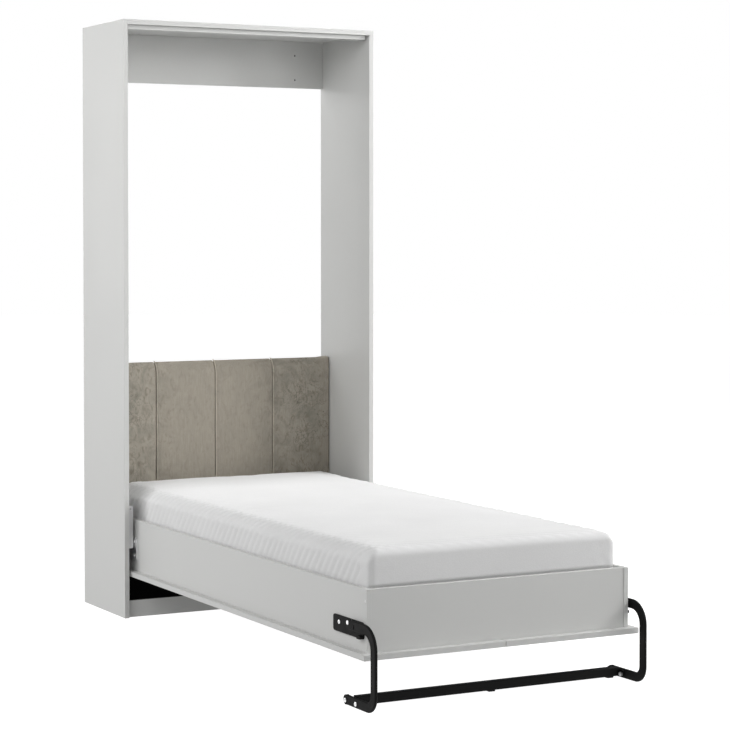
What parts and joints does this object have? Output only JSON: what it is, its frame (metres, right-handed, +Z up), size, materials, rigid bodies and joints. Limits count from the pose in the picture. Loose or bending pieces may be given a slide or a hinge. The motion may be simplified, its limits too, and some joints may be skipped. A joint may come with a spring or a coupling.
{
  "type": "murphy wall bed",
  "caption": "Single vertical wall bed: tall open cabinet with upholstered headboard; the bed with mattress folds up behind its front and rests on a folding black leg frame.",
  "frame": {"origin": "on the floor at the wall, half way along the cabinet's width: the middle of the bottom edge of the lower back panel's back face", "axes": "+X right as seen from the room, +Y towards the wall, +Z up; the bed folds down towards -Y"},
  "size_m": [1.029, 2.265, 2.18],
  "materials": {
    "laminate": "light grey matt laminate on particle board",
    "velvet": "taupe velvet",
    "mattress_cover": "white quilted knit",
    "beech": "satin",
    "zinc_steel": "bright zinc plate",
    "rod_chrome": "polished",
    "black_steel": "black powder coat",
    "black_plastic": "matt",
    "white_plastic": "satin"
  },
  "bodies": {
    "cabinet": {"top_panel": "laminate", "stop_strip": "laminate", "back_rail": "laminate", "lower_back_panel": "laminate", "plinth": "laminate", "headboard_panel": "laminate", "headboard_pad_1": "velvet", "headboard_pad_2": "velvet", "headboard_pad_3": "velvet", "headboard_pad_4": "velvet", "bracket_screws": "zinc_steel", "side_panel_left": "laminate", "side_panel_right": "laminate", "cabinet_bracket_left": "zinc_steel", "cabinet_bracket_right": "zinc_steel", "pivot_pin_left": "zinc_steel", "pivot_pin_right": "zinc_steel", "strut_anchor_left": "zinc_steel", "strut_anchor_right": "zinc_steel"},
    "bed": {"footboard": "laminate", "head_end_board": "laminate", "cross_beam_1": "laminate", "cross_beam_2": "laminate", "cross_beam_3": "laminate", "front_board_left": "laminate", "front_board_right": "laminate", "side_rail_left": "laminate", "side_rail_right": "laminate", "mattress": "mattress_cover", "slats": "beech", "slat_ledge_left": "beech", "slat_ledge_right": "beech", "bed_plate_bolts": "zinc_steel", "leg_bracket_bolts": "zinc_steel", "bed_plate_left": "zinc_steel", "bed_plate_right": "zinc_steel", "leg_pin_left": "zinc_steel", "leg_pin_right": "zinc_steel", "leg_bracket_left": "black_steel", "leg_bracket_right": "black_steel", "pivot_bush_left": "black_plastic", "pivot_bush_right": "black_plastic", "rail_screws": "white_plastic"},
    "leg_frame": {"crossbar": "black_steel", "crossbar_bolts": "zinc_steel", "crossbar_nuts": "zinc_steel", "foot_pads": "black_plastic", "leg_bar_left": "black_steel", "leg_bar_right": "black_steel"},
    "strut_body_left": {"strut_body_left": "black_steel"},
    "strut_rod_left": {"strut_rod_left": "rod_chrome"},
    "strut_body_right": {"strut_body_right": "black_steel"},
    "strut_rod_right": {"strut_rod_right": "rod_chrome"}
  },
  "joints": [
    {"name": "bed_tilt", "type": "hinge", "parent": "cabinet", "child": "bed", "pos_m": [0, -0.3065, 0.2545], "axis": [-1, 0, 0], "range_deg": [0, 90]},
    {"name": "leg_fold", "type": "hinge", "parent": "bed", "child": "leg_frame", "pos_m": [0, -2.095, 0.248], "axis": [-1, 0, 0], "range_deg": [0, 185.5], "deforming": ["mattress"]},
    {"name": "strut_swing_left", "type": "hinge", "parent": "cabinet", "child": "strut_body_left", "pos_m": [-0.483, -0.06, 0.41], "axis": [-1, 0, 0], "range_deg": [0, 6.96]},
    {"name": "strut_slide_left", "type": "slide", "parent": "strut_body_left", "child": "strut_rod_left", "axis": [0, -0.709, -0.7052], "range_m": [0, 0.0878]},
    {"name": "strut_swing_right", "type": "hinge", "parent": "cabinet", "child": "strut_body_right", "pos_m": [0.483, -0.06, 0.41], "axis": [-1, 0, 0], "range_deg": [0, 6.96]},
    {"name": "strut_slide_right", "type": "slide", "parent": "strut_body_right", "child": "strut_rod_right", "axis": [0, -0.709, -0.7052], "range_m": [0, 0.0878]}
  ],
  "couplings": [
    {"joint": "leg_fold", "follows": "bed_tilt", "ratio": 2.06},
    {"joint": "strut_swing_left", "follows": "bed_tilt", "ratio": 0.076818},
    {"joint": "strut_slide_left", "follows": "bed_tilt", "m_per_rad": 0.055714},
    {"joint": "strut_swing_right", "follows": "bed_tilt", "ratio": 0.076818},
    {"joint": "strut_slide_right", "follows": "bed_tilt", "m_per_rad": 0.055714}
  ]
}
